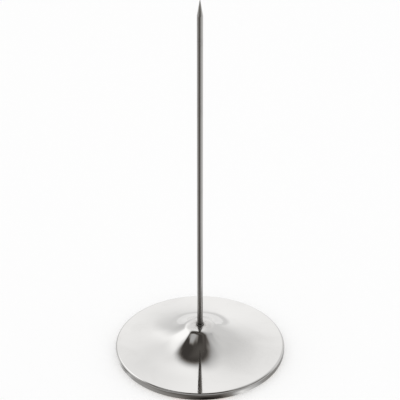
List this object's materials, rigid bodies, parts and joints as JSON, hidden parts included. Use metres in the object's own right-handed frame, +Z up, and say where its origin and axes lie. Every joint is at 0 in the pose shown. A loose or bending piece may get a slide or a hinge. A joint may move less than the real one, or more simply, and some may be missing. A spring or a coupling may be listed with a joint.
{
  "type": "bill spike",
  "caption": "Upright pointed rod on a round pressed-metal dish with a raised crown, on which paid bills and order slips are spiked and stacked.",
  "frame": {"origin": "centre of the dish on the table, under the point of the spike", "axes": "+Z up along the spike; the part is round about Z, so X and Y are free choices"},
  "size_m": [0.09, 0.09, 0.2],
  "materials": {
    "dish_steel": "pressed stainless sheet, polished to a mirror",
    "spike_steel": "bright drawn stainless rod with fine lines along it and a ground point",
    "ring_dark": "turned steel, darkened where the rod is seated on it",
    "fixing_zinc": "bright zinc plate",
    "spring_dark": "plain hardened spring steel, lightly oiled"
  },
  "bodies": {
    "root": {"base_dish": "dish_steel", "spike": "spike_steel", "foot_ring": "ring_dark", "flat_washer": "fixing_zinc", "spring_washer": "spring_dark", "hex_nut": "fixing_zinc"}
  },
  "joints": []
}
